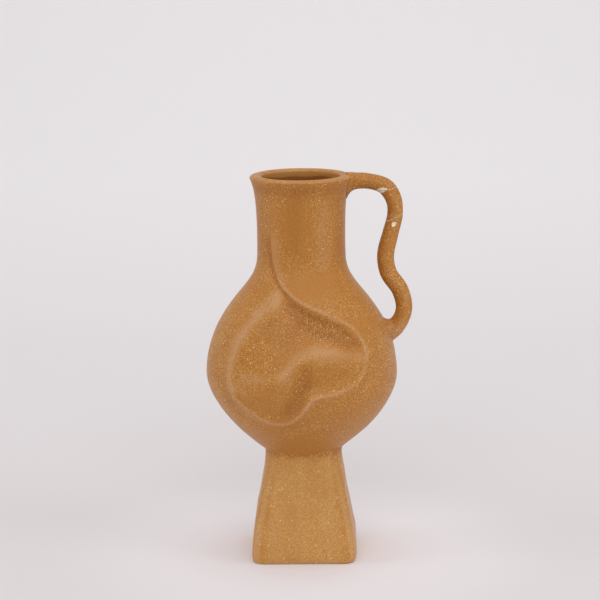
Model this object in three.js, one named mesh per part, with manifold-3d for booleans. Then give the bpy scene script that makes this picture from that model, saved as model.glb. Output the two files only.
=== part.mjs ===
// Handled vase in speckled ochre stoneware. A square pedestal carries a round belly whose front
// wall is pressed into a sculpted hollow, under a tall flared neck with one coiled handle.
// The clay pieces are made apart and luted together, and the handle was broken twice and mended.
// Millimetres, +Z up, front towards -Y, origin at the centre of the flat base.
import * as THREE from "three";
import { mergeVertices } from "three/addons/utils/BufferGeometryUtils.js";
import Module from "manifold-3d";

const wasm = await Module();
wasm.setup();

// Clay wall and the joints between pieces
const wall = 5.5;
const luteGap = 0.3; // clearance at a joint between curved faces
const mendThickness = 0.6; // film of adhesive in each break of the handle

// Pedestal: a flared tube of square plan on a flat slab
const footHeight = 87.4; // base to the body, at the middle of a face
const footBaseWidth = 86.2;
const footWaistWidth = 61.4;
const footWaistDrop = 1.7; // the pedestal is narrowest this far under the body
const footSideLean = 0.11; // just over the base the sides lean in by this share of the height
const footSideRun = 30.8; // upright run of the flare's curve over the base
const footWaistRun = 24.5; // and under the waist
const footCornerBase = 9; // radius in plan of the upright edges at the base
const footCornerTop = 22; // and at the body, where they melt away
const footTwist = -1; // degrees about the axis, the side by the handle towards the front
const footEdgeRadius = 2.2; // of the edge round the base
const slabThickness = 6.5;

// Belly, from the top of the pedestal up to the waist of the neck
const bellyRadius = 76.2;
const bellyRise = 62.5; // pedestal top to the widest place
const shoulderRise = 97.1; // widest place to the waist of the neck
const bowlSpread = 39; // degrees above level at which the belly leaves the pedestal
const bowlReach = 18.4; // how far that direction holds
const bellyFullnessBelow = 24.5; // upright run of the curve under the widest place
const bellyFullnessAbove = 54.2; // and over it
const waistFullness = 30.4; // upright run of the curve under the waist of the neck
const bowlDepth = 13; // the closed underside hangs this far below the pedestal's top

// Neck and lip
const neckRadius = 34.7;
const neckLength = 63; // waist of the neck to the top of the lip
const lipRadius = 39.1;
const lipCrown = 3.4; // height of the rounded top of the lip
const mouthRadius = 31.4;
const neckStraight = 22.3; // upright run above the waist
const lipFlareStart = 14.2; // the flare turns outwards this far under the lip's widest place
const lipFlareIn = 4.5; // and starts this far inside it

// Handle: a coil from the lip, down in an S, to the shoulder
const handleRadiusTop = 5.9;
const handleRadiusLow = 6.5;
const handleThinFrom = 0.5; // shares of the length between which it thins towards the lip
const handleThinTo = 0.9;
const handleTopSink = 5.9; // the coil's centre lies this far under the top of the lip
const handleFootRise = 26.5; // its lower end meets the body this far over the widest place
const handleSeat = 3; // depth to which both ends are coped into the wall they join
const handleReach = 35; // farthest that its centre stands out from a line between belly and neck
// Stations between the two ends: the share of the height from the lower end to the upper one,
// and the share of the reach at which the centre stands out there.
const handleStations = [
  { up: 0.1, out: 0.18 },
  { up: 0.195, out: 0.4 },
  { up: 0.31, out: 0.44 },
  { up: 0.42, out: 0.31 },
  { up: 0.53, out: 0.375 },
  { up: 0.675, out: 0.665 },
  { up: 0.79, out: 0.9 },
  { up: 0.885, out: 0.98 },
  { up: 0.965, out: 0.88 },
  { up: 1.0, out: 0.52 },
];
// Breaks across the handle: height under the top of the lip, and tilt of the break, outer side up
const upperBreak = { under: 12.3, tilt: 15 };
const lowerBreak = { under: 35, tilt: 30 };

// Sculpted hollow in the front wall, drawn on the front elevation from the axis and the widest place
// of the belly: across, up, and the width over which the wall turns in at that point. It lies between
// the crease, a fold down the neck and round the right lobe, and the roll on the left.
const crease = [
  [-22.8, 141, 1.6],
  [-22.6, 118, 1.6],
  [-21.7, 102, 1.6],
  [-19.2, 90.5, 1.7],
  [-12.7, 76.5, 3],
  [-6.5, 70, 4.5],
  [1.3, 65, 5.5],
  [11.4, 60.8, 6.5],
  [34, 50, 6],
  [48, 33, 5],
  [51, 23.5, 4.5],
  [46.7, 8, 4],
  [31.7, -1, 4],
  [12.2, -4.7, 4],
  [7.4, -6.5, 4],
];
const roll = [
  [-26, 141, 5],
  [-26.2, 116, 5],
  [-25.2, 97, 5.7],
  [-21.5, 82, 6.8],
  [-18.5, 72.5, 9],
  [-24, 64, 11],
  [-36.2, 52.5, 11.5],
  [-48, 37.2, 11],
  [-55.5, 19, 8.5],
  [-57, 0, 5.5],
  [-48, -15.2, 4],
  [-31, -25.4, 4],
  [-17, -28.4, 4],
  [-6.5, -24.3, 4],
  [0, -16.5, 4],
  [7.4, -6.5, 4],
];
const turnSpread = 3; // the turn ends at this many times its width
// Lines along which the wall's depth is known: across, up, depth
const guides = {
  crest: [
    [49, 21, 2.6], [30, 23, 2.2], [9, 25, 1.6], [-1.5, 22.5, 1.5],
    [-9, 13, 1.7], [-20, 5, 2.2], [-43, 4, 3],
  ],
  trough: [[41, 37, 4.6], [24, 44.5, 9], [7, 48.5, 11], [-6, 46.5, 10.4], [-28, 30, 7.2], [-40, 21, 5.6]],
  floor: [[3, 39, 9], [-9, 33, 8.4], [-18, 21.5, 6.6], [-31, 15, 5]],
  fold: [[-7, 60, 9.2], [-14.5, 69, 7.2], [-20.5, 83, 5.8], [-26, 101, 4.8], [-28, 142, 1.5]],
  valley: [[1, 16, 4.4], [1.5, 3, 6.6], [-3.5, -9, 6], [-8, -16, 4.4]],
  rightLobe: [[15, 13, 3.8], [13, 4, 5.2], [24, 4, 4.4], [38, 9, 3.6]],
  leftLobe: [[-48, -4, 2.4], [-38, -13, 2.2], [-22, -19, 2.4]],
  plateau: [[-34, -7, 2.4], [-20, -7, 2.3]],
};
const guideBlend = 3.5; // distance within which two guides melt together

// Fineness of the curved surfaces
const frontSegments = 108;
const backSegments = 44;
const innerSegments = 44;
const neckSegments = 36;
const frontGathering = 0.2; // how far the columns of the turned forms gather at the front
const lipSegments = 8;
const cornerSegments = 4;
const creaseSegments = 150; // points on each rim line of the hollow
const guideSpacing = 2.5; // between the points of a guide
const levelSlack = 1e-3; // rounding allowed where a face is taken as level or upright
const weldDistance = 1e-4; // points nearer than this are one
const frontRows = 15; // rows on each stretch of the belly's profile
const plainRows = 8;
const shoulderRowShare = 1.6; // the shoulder is this much longer than the bowl
const footRows = 9;
const footBoreRows = 8;
const footOutlineSteps = 60;
const footEdgeRows = 4;
const neckRows = 10;
const neckBoreRows = 8;
const coilSides = 14;
const coilSteps = 55;

// Heights that follow from the sizes above
const bellyZ = footHeight + bellyRise;
const waistZ = bellyZ + shoulderRise;
const topZ = waistZ + neckLength;
const lipZ = topZ - lipCrown;
const reach = 2 * (topZ + bellyRadius); // larger than the whole vase, for cutting blocks

// A closed geometry as a solid that can be cut and joined
function solid(geometry) {
  const bare = new THREE.BufferGeometry();
  bare.setAttribute("position", geometry.getAttribute("position"));
  bare.setIndex(geometry.getIndex());
  const merged = mergeVertices(bare, weldDistance);
  const corners = Array.from(merged.getIndex().array);
  const triangles = [];
  for (let i = 0; i < corners.length; i += 3) {
    const [a, b, c] = corners.slice(i, i + 3);
    if (a !== b && b !== c && c !== a) triangles.push(a, b, c);
  }
  return new wasm.Manifold(
    new wasm.Mesh({
      numProp: 3,
      vertProperties: new Float32Array(merged.getAttribute("position").array),
      triVerts: new Uint32Array(triangles),
    }),
  );
}

// A finished solid as a named mesh
function piece(name, shape, material) {
  const { vertProperties, triVerts } = shape.getMesh();
  const geometry = new THREE.BufferGeometry();
  geometry.setAttribute("position", new THREE.BufferAttribute(vertProperties, 3));
  geometry.setIndex(new THREE.BufferAttribute(triVerts, 1));
  geometry.computeVertexNormals();
  const mesh = new THREE.Mesh(geometry, material);
  mesh.name = name;
  return mesh;
}

// A block that fills everything above (or in front of, and so on) a plane through a point
function halfSpace(point, direction) {
  const block = new THREE.BoxGeometry(reach, reach, reach);
  block.translate(0, 0, reach / 2);
  const turn = new THREE.Quaternion().setFromUnitVectors(
    new THREE.Vector3(0, 0, 1),
    direction.clone().normalize(),
  );
  block.applyQuaternion(turn);
  block.translate(point.x, point.y, point.z);
  return solid(block);
}

const v2 = (x, y) => new THREE.Vector2(x, y);

// Outline of the belly from its closed underside up to the waist of the neck
function bodyOutline(rows) {
  const spread = THREE.MathUtils.degToRad(bowlSpread);
  const start = v2(footWaistWidth / 2, footHeight);
  const along = v2(Math.cos(spread), Math.sin(spread));
  const underside = new THREE.CubicBezierCurve(
    v2(0, footHeight - bowlDepth),
    v2(start.x / 3, footHeight - bowlDepth),
    start.clone().addScaledVector(along, -start.x / 3),
    start,
  );
  const bowl = new THREE.CubicBezierCurve(
    start,
    start.clone().addScaledVector(along, bowlReach),
    v2(bellyRadius, bellyZ - bellyFullnessBelow),
    v2(bellyRadius, bellyZ),
  );
  const shoulder = new THREE.CubicBezierCurve(
    v2(bellyRadius, bellyZ),
    v2(bellyRadius, bellyZ + bellyFullnessAbove),
    v2(neckRadius, waistZ - waistFullness),
    v2(neckRadius, waistZ),
  );
  return [
    ...underside.getSpacedPoints(Math.ceil(rows / 3)).slice(0, -1),
    ...bowl.getSpacedPoints(rows).slice(0, -1),
    ...shoulder.getSpacedPoints(Math.round(rows * shoulderRowShare)),
  ];
}

// The same outline moved in (or out) along its normals
function offsetOutline(outline, inward) {
  return outline.map((p, i) => {
    const before = outline[Math.max(i - 1, 0)];
    const after = outline[Math.min(i + 1, outline.length - 1)];
    const along = after.clone().sub(before).normalize();
    if (i === 0) along.set(1, 0); // level at the axis
    if (i === outline.length - 1) along.set(0, 1); // upright at the waist
    return v2(Math.max(p.x - along.y * inward, 0), p.y + along.x * inward);
  });
}

// A smooth line through points; the third number of each point runs along with it
const line = (points) =>
  new THREE.CatmullRomCurve3(points.map((p) => new THREE.Vector3(...p)), false, "centripetal");
const creaseLine = line(crease).getPoints(creaseSegments);
const rollLine = line(roll).getPoints(creaseSegments);
const hollowRing = [...creaseLine, ...rollLine.toReversed()];
const guidePoints = Object.values(guides).flatMap((points) => {
  const guide = line(points);
  return guide.getSpacedPoints(Math.ceil(guide.getLength() / guideSpacing));
});

function nearest(samples, x, z) {
  let best = { distance: Infinity, value: 0 };
  for (const s of samples) {
    const distance = Math.hypot(s.x - x, s.y - z);
    if (distance < best.distance) best = { distance, value: s.z };
  }
  return best;
}

function insideRing(x, z) {
  let inside = false;
  hollowRing.forEach((a, i) => {
    const b = hollowRing[(i + 1) % hollowRing.length];
    const crosses = a.y > z !== b.y > z;
    if (crosses && x < a.x + ((z - a.y) * (b.x - a.x)) / (b.y - a.y)) inside = !inside;
  });
  return inside;
}

// Half of the way down lies within the width of the turn, and the rest within its spread
function turnIn({ distance, value: width }) {
  const near = THREE.MathUtils.smoothstep(distance, 0, width);
  const far = THREE.MathUtils.smoothstep(distance, 0, turnSpread * width);
  return (near + far) / 2;
}

// How far the front wall is pressed in at a place of the front elevation: the depths of the guides,
// each weighted by its nearness, brought down to nothing at both rim lines
function hollow(x, z) {
  if (!insideRing(x, z)) return 0;
  let total = 0;
  let weights = 0;
  for (const guide of guidePoints) {
    const weight = ((guide.x - x) ** 2 + (guide.y - z) ** 2 + guideBlend ** 2) ** -2;
    total += weight * guide.z;
    weights += weight;
  }
  return (total / weights) * turnIn(nearest(creaseLine, x, z)) * turnIn(nearest(rollLine, x, z));
}

// A turned form about the Z axis whose columns gather at the front. Where asked, the hollow is
// pressed into its front; inward is how far the form lies inside the wall's outer face.
function turned(outline, segments, pressed, inward = 0) {
  const geometry = new THREE.LatheGeometry(outline, segments);
  geometry.rotateX(Math.PI / 2);
  const place = geometry.getAttribute("position");
  const normal = geometry.getAttribute("normal");
  const up = new THREE.Vector3(0, 0, 1);
  const p = new THREE.Vector3();
  const n = new THREE.Vector3();
  const depths = new Array(place.count).fill(0);
  for (let i = 0; i < place.count; i += 1) {
    p.fromBufferAttribute(place, i);
    n.fromBufferAttribute(normal, i);
    const fromFront = Math.atan2(p.x, -p.y);
    const gather = -frontGathering * Math.sin(2 * fromFront);
    p.applyAxisAngle(up, gather);
    n.applyAxisAngle(up, gather);
    if (pressed && p.y < 0) {
      const radial = new THREE.Vector3(p.x, p.y, 0).normalize();
      const bore = n.dot(radial) < -levelSlack;
      if (p.z > waistZ - levelSlack) n.copy(radial); // the neck is pressed straight in
      const under = bore ? wall : inward;
      depths[i] = hollow(p.x + n.x * under, p.z + n.z * under - bellyZ);
      p.addScaledVector(n, -depths[i]);
    }
    place.setXYZ(i, p.x, p.y, p.z);
  }
  if (pressed) geometry.setIndex(followCreases(depths, outline.length, segments));
  return solid(geometry);
}

// Corners of the two triangles of each quad, split along the diagonal whose ends are pressed more
// alike, so that the facets follow the creases
function followCreases(depths, rows, segments) {
  const corners = [];
  for (let i = 0; i < segments; i += 1) {
    for (let j = 0; j < rows - 1; j += 1) {
      const a = j + i * rows;
      const [b, c, d] = [a + rows, a + rows + 1, a + 1];
      const along = Math.abs(depths[b] - depths[d]) <= Math.abs(depths[a] - depths[c]);
      corners.push(...(along ? [a, b, d, c, d, b] : [a, b, c, a, c, d]));
    }
  }
  return corners;
}

// Outline that ends on the axis above its last point, so that the turned form is closed
const capped = (outline) => [...outline, v2(0, outline.at(-1).y)];

// Prism of rounded square plan whose half width and corner radius change from station to station
function flaredPrism(stations) {
  const { half, corner } = stations[0];
  const arm = half - corner;
  const plan = new THREE.Shape();
  plan.absarc(arm, arm, corner, 0, Math.PI / 2, false);
  plan.absarc(-arm, arm, corner, Math.PI / 2, Math.PI, false);
  plan.absarc(-arm, -arm, corner, Math.PI, 1.5 * Math.PI, false);
  plan.absarc(arm, -arm, corner, 1.5 * Math.PI, 2 * Math.PI, false);
  const steps = stations.length - 1;
  const geometry = new THREE.ExtrudeGeometry(plan, {
    depth: steps,
    steps,
    curveSegments: cornerSegments,
    bevelEnabled: false,
  });
  const place = geometry.getAttribute("position");
  const moved = (value, station) => {
    const centre = THREE.MathUtils.clamp(value, -arm, arm);
    const reached = ((station.half - station.corner) * centre) / arm;
    return reached + ((value - centre) * station.corner) / corner;
  };
  for (let i = 0; i < place.count; i += 1) {
    const station = stations[Math.round(place.getZ(i))];
    place.setXYZ(i, moved(place.getX(i), station), moved(place.getY(i), station), station.z);
  }
  geometry.rotateZ(THREE.MathUtils.degToRad(footTwist));
  return solid(geometry);
}

// Where an outline crosses a height that lies within it
function radiusAt(outline, z) {
  const i = Math.max(outline.findIndex((p) => p.y >= z), 1);
  const [a, b] = [outline[i - 1], outline[i]];
  return a.x + ((b.x - a.x) * (z - a.y)) / (b.y - a.y);
}

// Outline of the pedestal's side, from the base up to its waist, where it stands upright
const footWaistZ = footHeight - footWaistDrop;
const footOutline = new THREE.CubicBezierCurve(
  v2(footBaseWidth / 2, 0),
  v2(footBaseWidth / 2 - footSideLean * footSideRun, footSideRun),
  v2(footWaistWidth / 2, footWaistZ - footWaistRun),
  v2(footWaistWidth / 2, footWaistZ),
).getPoints(footOutlineSteps);

// Half width of the pedestal at a height, with the rounded edge at its base
function footHalf(z) {
  const rounding = Math.max(footEdgeRadius - z, 0);
  const pullIn = footEdgeRadius - Math.sqrt(footEdgeRadius ** 2 - rounding ** 2);
  return radiusAt(footOutline, Math.min(z, footWaistZ)) - pullIn;
}

// Radius of the pedestal's upright edges at a height
function footCorner(z) {
  const share = Math.min(z / footHeight, 1) ** 2;
  return THREE.MathUtils.lerp(footCornerBase, footCornerTop, share);
}

const footStation = (z, inward) => ({ z, half: footHalf(z) - inward, corner: footCorner(z) - inward });

function footStations(from, to, count, inward) {
  return Array.from({ length: count + 1 }, (_, i) => footStation(from + ((to - from) * i) / count, inward));
}

// The finishes
const glaze = new THREE.MeshStandardMaterial({ color: 0xb07a3e, roughness: 0.55, metalness: 0 });
const mendFilm = new THREE.MeshStandardMaterial({ color: 0xd9c7a4, roughness: 0.4, metalness: 0 });

const clayBody = turned(capped(bodyOutline(frontRows)), frontSegments, true);
const clayBodyPlain = turned(capped(bodyOutline(plainRows)), backSegments, false);
const cavityOutline = capped(offsetOutline(bodyOutline(plainRows), wall));
const cavity = turned(cavityOutline, innerSegments, true, wall);
const bodyAround = turned(capped(offsetOutline(bodyOutline(frontRows), -luteGap)), frontSegments, false);
const towardsBack = new THREE.Vector3(0, 1, 0);
const towardsFront = new THREE.Vector3(0, -1, 0);
const axis = new THREE.Vector3(0, 0, 0);

// Square way from the belly down into the hollow pedestal
const footTop = footHeight + bellyRise / 2;
const footBore = flaredPrism(footStations(slabThickness, footTop, footBoreRows, wall));

function frontBodyShell() {
  return clayBody
    .subtract(cavity)
    .subtract(footBore)
    .intersect(halfSpace(axis, towardsFront));
}

function backBodyShell() {
  return clayBodyPlain
    .subtract(cavity)
    .subtract(footBore)
    .intersect(halfSpace(axis, towardsBack));
}

// The pedestal's wall stands on the slab and is coped to the underside of the body
function footWall() {
  return flaredPrism(footStations(slabThickness, footTop, footRows, 0))
    .subtract(footBore)
    .subtract(bodyAround);
}

function baseSlab() {
  const edge = footStations(0, footEdgeRadius, footEdgeRows, 0);
  return flaredPrism([...edge, footStation(slabThickness, 0)]);
}

// Ring of the neck: up the outside, over the lip, and down the bore
const neckOutside = new THREE.CubicBezierCurve(
  v2(neckRadius, waistZ),
  v2(neckRadius, waistZ + neckStraight),
  v2(lipRadius - lipFlareIn, lipZ - lipFlareStart),
  v2(lipRadius, lipZ),
).getSpacedPoints(neckRows);
const lipMiddle = (lipRadius + mouthRadius) / 2;
const lipHalf = (lipRadius - mouthRadius) / 2;
const lipRound = Array.from({ length: lipSegments - 1 }, (_, i) => {
  const turn = (Math.PI * (i + 1)) / lipSegments;
  return v2(lipMiddle + lipHalf * Math.cos(turn), lipZ + lipCrown * Math.sin(turn));
});

function neckCollar() {
  const bore = new THREE.CubicBezierCurve(
    v2(mouthRadius, lipZ),
    v2(mouthRadius, lipZ - lipFlareStart),
    v2(neckRadius - wall, waistZ + neckStraight),
    v2(neckRadius - wall, waistZ),
  ).getSpacedPoints(neckBoreRows);
  const ring = [...neckOutside, ...lipRound, ...bore, neckOutside[0]];
  return turned(ring, neckSegments, true);
}

// Centre line of the handle, from its seat in the shoulder up to its seat in the lip
const handleFootZ = bellyZ + handleFootRise;
const handleTopZ = topZ - handleTopSink;
const shoulderOutline = bodyOutline(frontRows).filter((p) => p.y >= bellyZ);
const handleLine = new THREE.CatmullRomCurve3(
  [
    { x: radiusAt(shoulderOutline, handleFootZ) - handleSeat, z: handleFootZ },
    ...handleStations.map((s) => ({
      x: THREE.MathUtils.lerp(bellyRadius, neckRadius, s.up) + s.out * handleReach,
      z: THREE.MathUtils.lerp(handleFootZ, handleTopZ, s.up),
    })),
    { x: lipMiddle, z: handleTopZ },
  ].map((p) => new THREE.Vector3(p.x, 0, p.z)),
  false,
  "centripetal",
);

// Round coil that thickens towards its lower end
function coil() {
  const section = new THREE.Shape();
  section.absarc(0, 0, handleRadiusLow, 0, 2 * Math.PI, false);
  const geometry = new THREE.ExtrudeGeometry(section, {
    steps: coilSteps,
    curveSegments: coilSides / 2,
    extrudePath: handleLine,
  });
  const centres = handleLine.getSpacedPoints(coilSteps);
  const place = geometry.getAttribute("position");
  const p = new THREE.Vector3();
  for (let i = 0; i < place.count; i += 1) {
    p.fromBufferAttribute(place, i);
    let step = 0;
    centres.forEach((c, k) => {
      if (c.distanceToSquared(p) < centres[step].distanceToSquared(p)) step = k;
    });
    const share = THREE.MathUtils.smoothstep(step / coilSteps, handleThinFrom, handleThinTo);
    const radius = THREE.MathUtils.lerp(handleRadiusLow, handleRadiusTop, share);
    p.sub(centres[step]).multiplyScalar(radius / handleRadiusLow).add(centres[step]);
    place.setXYZ(i, p.x, p.y, p.z);
  }
  return solid(geometry);
}

// Where the coil's centre line crosses a height, counted from the lip down
function coilCentreAt(under) {
  const centres = handleLine.getSpacedPoints(4 * coilSteps);
  const z = topZ - under;
  const i = centres.findLastIndex((c) => c.z < z);
  return centres[i].clone().lerp(centres[i + 1], (z - centres[i].z) / (centres[i + 1].z - centres[i].z));
}

// The coil, coped to the lip and the shoulder, and parted at its two breaks
const neckAround = turned(
  capped(
    [v2(0, waistZ), ...neckOutside, ...lipRound.slice(0, lipSegments / 2)].map((p) =>
      v2(p.x && p.x + luteGap, p.y),
    ),
  ),
  neckSegments,
  false,
);
const wholeHandle = coil().subtract(bodyAround).subtract(neckAround);

function breakFaces({ under, tilt }) {
  const turn = THREE.MathUtils.degToRad(tilt);
  const upward = new THREE.Vector3(-Math.sin(turn), 0, Math.cos(turn));
  const middle = coilCentreAt(under);
  const over = middle.clone().addScaledVector(upward, mendThickness / 2);
  const below = middle.clone().addScaledVector(upward, -mendThickness / 2);
  const downward = upward.clone().negate();
  return {
    above: halfSpace(over, upward),
    film: halfSpace(below, upward).intersect(halfSpace(over, downward)),
    beneath: halfSpace(below, downward),
  };
}

const upper = breakFaces(upperBreak);
const lower = breakFaces(lowerBreak);

const vase = new THREE.Group();
vase.add(
  piece("base_slab", baseSlab(), glaze),
  piece("pedestal_wall", footWall(), glaze),
  piece("front_body_shell", frontBodyShell(), glaze),
  piece("back_body_shell", backBodyShell(), glaze),
  piece("neck_collar", neckCollar(), glaze),
  piece("handle_upper_arm", wholeHandle.intersect(upper.above), glaze),
  piece("upper_mend", wholeHandle.intersect(upper.film), mendFilm),
  piece("handle_middle_fragment", wholeHandle.intersect(upper.beneath).intersect(lower.above), glaze),
  piece("lower_mend", wholeHandle.intersect(lower.film), mendFilm),
  piece("handle_lower_sweep", wholeHandle.intersect(lower.beneath), glaze),
);

export default vase;
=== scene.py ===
# %% [markdown]
# A handled vase in speckled ochre stoneware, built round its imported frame.
# The frame holds the real sizes. Everything here is in metres, +Z up, with the front towards -Y.

# %% Load the frame
import math

import bmesh
import bpy
import numpy as np
from mathutils import Matrix, Vector
from mathutils.geometry import interpolate_bezier


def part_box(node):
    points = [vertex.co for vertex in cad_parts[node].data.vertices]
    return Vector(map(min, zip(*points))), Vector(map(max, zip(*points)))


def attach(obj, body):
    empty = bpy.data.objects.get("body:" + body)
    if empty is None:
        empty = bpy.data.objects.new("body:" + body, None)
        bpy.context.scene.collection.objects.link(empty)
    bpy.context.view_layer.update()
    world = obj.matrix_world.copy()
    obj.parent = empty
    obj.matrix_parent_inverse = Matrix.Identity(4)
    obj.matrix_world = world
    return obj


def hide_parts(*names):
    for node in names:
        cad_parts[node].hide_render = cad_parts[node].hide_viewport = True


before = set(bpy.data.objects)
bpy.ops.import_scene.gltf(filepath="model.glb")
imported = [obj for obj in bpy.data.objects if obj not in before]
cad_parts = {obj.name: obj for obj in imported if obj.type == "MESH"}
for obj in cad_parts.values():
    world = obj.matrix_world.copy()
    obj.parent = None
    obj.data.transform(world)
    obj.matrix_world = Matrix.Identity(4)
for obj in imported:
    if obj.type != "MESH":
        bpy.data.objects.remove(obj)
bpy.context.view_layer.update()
MM = 0.001
print("nodes in the frame:", sorted(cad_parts))

# %% [markdown]
# The camera comes first: 1.65 m away, with a long lens, looking down at a place a little above the
# middle of the vase, and leaning by half a degree.

# %% Camera
FRAME_PIXELS = 600
FOCAL_PIXELS = 2056
CAMERA_DISTANCE = 1.6178
CAMERA_HEIGHT = 0.5316
CAMERA_PITCH = 11.3
CAMERA_ROLL = 0.62
AIM_HEIGHT = 0.2083
AXIS_COLUMN = 301.8
SENSOR_WIDTH = 36

lens = bpy.data.cameras.new("camera")
lens.sensor_width = SENSOR_WIDTH
lens.lens = FOCAL_PIXELS / FRAME_PIXELS * SENSOR_WIDTH
camera = bpy.data.objects.new("camera", lens)
bpy.context.collection.objects.link(camera)
slant = math.hypot(CAMERA_DISTANCE, CAMERA_HEIGHT - AIM_HEIGHT)
aside = (FRAME_PIXELS / 2 - AXIS_COLUMN) / FOCAL_PIXELS * slant
camera.location = (aside, -CAMERA_DISTANCE, CAMERA_HEIGHT)
tip = Matrix.Rotation(math.radians(90 - CAMERA_PITCH), 4, "X")
lean = Matrix.Rotation(math.radians(-CAMERA_ROLL), 4, "Z")
camera.rotation_euler = (tip @ lean).to_euler()
bpy.context.scene.camera = camera


# %% [markdown]
# A short way to write a shader: a node is made with its settings and its inputs in one call.

# %% Shader helpers
def add_node(tree, kind, inputs=None, **settings):
    made = tree.nodes.new(kind)
    for name, value in settings.items():
        setattr(made, name, value)
    for name, value in (inputs or {}).items():
        if isinstance(value, bpy.types.NodeSocket):
            tree.links.new(value, made.inputs[name])
        else:
            made.inputs[name].default_value = value
    return made


def new_material(name):
    """A material with an empty tree, and the socket that gives each place in metres."""
    made = bpy.data.materials.new(name)
    made.use_nodes = True
    tree = made.node_tree
    tree.nodes.clear()
    return made, tree, add_node(tree, "ShaderNodeTexCoord").outputs["Object"]


def end_with_surface(tree, inputs):
    surface = add_node(tree, "ShaderNodeBsdfPrincipled", inputs)
    add_node(tree, "ShaderNodeOutputMaterial", {"Surface": surface.outputs[0]})


def mix(tree, share, first, second):
    """A mix node keeps its two colours at inputs 6 and 7, and the mixed one at output 2."""
    inputs = {"Factor": share, 6: first, 7: second}
    return add_node(tree, "ShaderNodeMix", inputs, data_type="RGBA").outputs[2]


def ramp(tree, value, low, high, to_low=0.0, to_high=1.0, **settings):
    made = add_node(tree, "ShaderNodeMapRange", {
        "Value": value, "From Min": low, "From Max": high,
        "To Min": to_low, "To Max": to_high}, **settings)
    return made.outputs[0]


def times(tree, first, second):
    return add_node(tree, "ShaderNodeMath", {0: first, 1: second}, operation="MULTIPLY").outputs[0]


def noise(tree, where, scale, detail):
    made = add_node(tree, "ShaderNodeTexNoise", {"Vector": where, "Scale": scale, "Detail": detail})
    return made.outputs["Fac"]


def cells(tree, where, scale):
    return add_node(tree, "ShaderNodeTexVoronoi", {"Vector": where, "Scale": scale})


# %% [markdown]
# The vase stands on a pale sweep: one sheet that is floor in front and curves up into the backdrop.
# It is stage, not part of the object.

# %% Floor and backdrop
SWEEP_WIDTH = 5.0
SWEEP_FRONT = -0.75
SWEEP_BACK = 1.9
SWEEP_HEIGHT = 2.4
SWEEP_CURVE = 1.1
SWEEP_CURVE_STEPS = 24
FLOOR_COLOUR = (0.765, 0.73, 0.74, 1)
# Painted light: the floor colour right by the vase, lighter than the rest to soften the shade there.
FLOOR_PAINTED_LIGHT_BY_VASE = (0.90, 0.88, 0.915, 1)
BACKDROP_COLOUR = (0.925, 0.91, 0.92, 1)
# Near the vase the floor is painted lighter, as painted light against the shade the vase casts there; it
# gets darker between these distances, and becomes backdrop between these depths.
FLOOR_FADE = (0.03, 0.26)
BACKDROP_FADE = (0.1, 1.3)


def finish_mesh(bm, name):
    mesh = bpy.data.meshes.new(name)
    for face in bm.faces:
        face.smooth = True
    bm.to_mesh(mesh)
    bm.free()
    made = bpy.data.objects.new(name, mesh)
    bpy.context.collection.objects.link(made)
    print("%s: %d faces" % (name, len(mesh.polygons)))
    return made


def sweep_line():
    points = [(SWEEP_FRONT, 0.0), (SWEEP_BACK - SWEEP_CURVE, 0.0)]
    for i in range(1, SWEEP_CURVE_STEPS + 1):
        turn = math.pi / 2 * i / SWEEP_CURVE_STEPS
        points.append((SWEEP_BACK - SWEEP_CURVE + SWEEP_CURVE * math.sin(turn),
                       SWEEP_CURVE - SWEEP_CURVE * math.cos(turn)))
    points.append((SWEEP_BACK, SWEEP_HEIGHT))
    return points


def make_sweep():
    bm = bmesh.new()
    line = [bm.verts.new((-SWEEP_WIDTH / 2, y, z)) for y, z in sweep_line()]
    edges = [bm.edges.new(pair) for pair in zip(line, line[1:])]
    out = bmesh.ops.extrude_edge_only(bm, edges=edges)["geom"]
    moved = [v for v in out if isinstance(v, bmesh.types.BMVert)]
    bmesh.ops.translate(bm, vec=(SWEEP_WIDTH, 0, 0), verts=moved)
    bmesh.ops.recalc_face_normals(bm, faces=bm.faces)
    return finish_mesh(bm, "sweep")


def sweep_material():
    made, tree, where = new_material("pale_sweep")
    away = add_node(tree, "ShaderNodeVectorMath", {0: where}, operation="LENGTH").outputs["Value"]
    fade = ramp(tree, away, *FLOOR_FADE, interpolation_type="SMOOTHERSTEP")
    floor = mix(tree, fade, FLOOR_PAINTED_LIGHT_BY_VASE, FLOOR_COLOUR)
    depth = add_node(tree, "ShaderNodeSeparateXYZ", {"Vector": where}).outputs["Y"]
    colour = mix(tree, ramp(tree, depth, *BACKDROP_FADE), floor, BACKDROP_COLOUR)
    end_with_surface(tree, {"Base Color": colour, "Roughness": 0.9, "Specular IOR Level": 0.2})
    return made


sweep = make_sweep()
sweep.data.materials.append(sweep_material())

# %% [markdown]
# Soft studio light: large panels overhead and in front do most of the work, a tall softbox on each
# side draws the upright streaks on the neck, and the room adds a faint glow.

# %% Lights
SOFTBOXES = {
    "softbox_left": {"at": (-1.5, -0.2, 0.55), "size": (0.5, 1.2), "power": 3.6},
    "softbox_right": {"at": (1.4, -0.6, 0.55), "size": (0.5, 1.2), "power": 3.6},
    "panel_overhead": {"at": (0.2, 0.0, 2.0), "size": (2.6, 2.6), "power": 17},
    "panel_front": {"at": (0.0, -2.2, 1.6), "size": (2.2, 1.0), "power": 16},
}
LIGHT_AIM = Vector((0, 0, 0.2))
ROOM_COLOUR = (1.0, 0.97, 0.97, 1)
ROOM_GLOW = 0.46


def add_softbox(name, at, size, power):
    light = bpy.data.lights.new(name, "AREA")
    light.shape = "RECTANGLE"
    light.size, light.size_y = size
    light.energy = power
    made = bpy.data.objects.new(name, light)
    bpy.context.collection.objects.link(made)
    made.location = at
    made.rotation_euler = (LIGHT_AIM - Vector(at)).to_track_quat("-Z", "Y").to_euler()


for name, values in SOFTBOXES.items():
    add_softbox(name, **values)

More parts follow.
